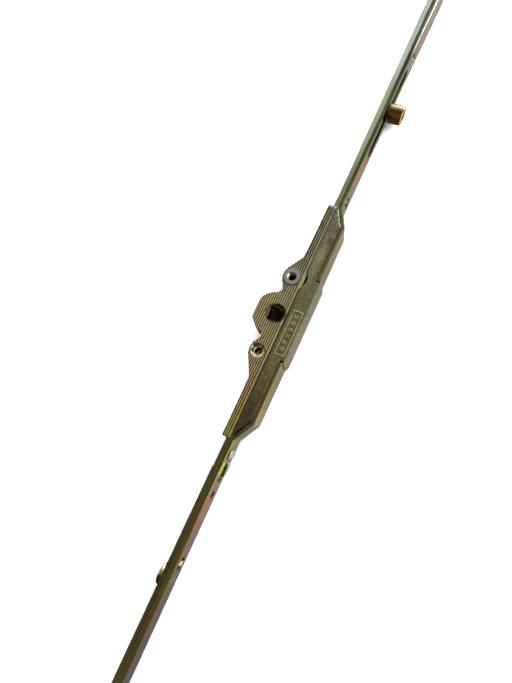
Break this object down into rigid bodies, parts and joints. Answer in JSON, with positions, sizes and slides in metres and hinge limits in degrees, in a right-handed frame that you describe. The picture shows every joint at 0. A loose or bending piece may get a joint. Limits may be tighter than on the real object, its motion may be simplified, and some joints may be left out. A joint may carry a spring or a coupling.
{
  "type": "window espagnolette gearbox",
  "caption": "Window espagnolette gearbox: a toothed spindle follower in a two-shell case slides drive rods and a roller cam along a bowed faceplate.",
  "frame": {"origin": "on the spindle axis, halfway through the case", "axes": "+X along the faceplate towards the cam end, -Y the way the faceplate looks, +Z along the spindle, out of the side with the plain tablet. The gearbox lies on its side, on the faceplate's long edge."},
  "size_m": [0.436, 0.0286, 0.0163],
  "materials": {
    "plated_steel": "iridescent yellow passivated zinc plate",
    "zinc_case": "die-cast zinc, iridescent yellow passivated, satin",
    "bush_plated": "polished, iridescent",
    "bush_grey": "matt cast zinc",
    "follower_steel": "sintered steel, gold passivated",
    "bare_steel": "turned, bright",
    "brass": "turned, polished"
  },
  "bodies": {
    "case": {"faceplate": "plated_steel", "housing_front_shell": "zinc_case", "housing_back_shell": "zinc_case", "screw_bush_lower": "bush_plated", "screw_bush_upper": "bush_grey", "dowel_pins": "bare_steel", "guide_rivet": "brass"},
    "drive": {"drive_bar": "plated_steel", "lower_drive_rod": "plated_steel", "upper_drive_rod": "plated_steel", "lap_rivets_lower": "bare_steel", "lap_rivets_upper": "bare_steel", "cam_stud": "bare_steel", "cam_washer": "bare_steel"},
    "follower": {"spindle_follower": "follower_steel"},
    "cam": {"cam_roller": "brass"}
  },
  "joints": [
    {"name": "rod_slide", "type": "slide", "parent": "case", "child": "drive", "axis": [1, 0, 0], "range_m": [-0.0146, 0.0146]},
    {"name": "follower_turn", "type": "hinge", "parent": "case", "child": "follower", "pos_m": [0, 0, 0], "axis": [0, 0, 1], "range_deg": [-90, 90]},
    {"name": "cam_spin", "type": "hinge", "parent": "drive", "child": "cam", "pos_m": [0.13585, -0.01383, 0], "axis": [0, -1, 0], "continuous": true}
  ],
  "couplings": [
    {"joint": "follower_turn", "follows": "rod_slide", "rad_per_m": 107.53}
  ]
}
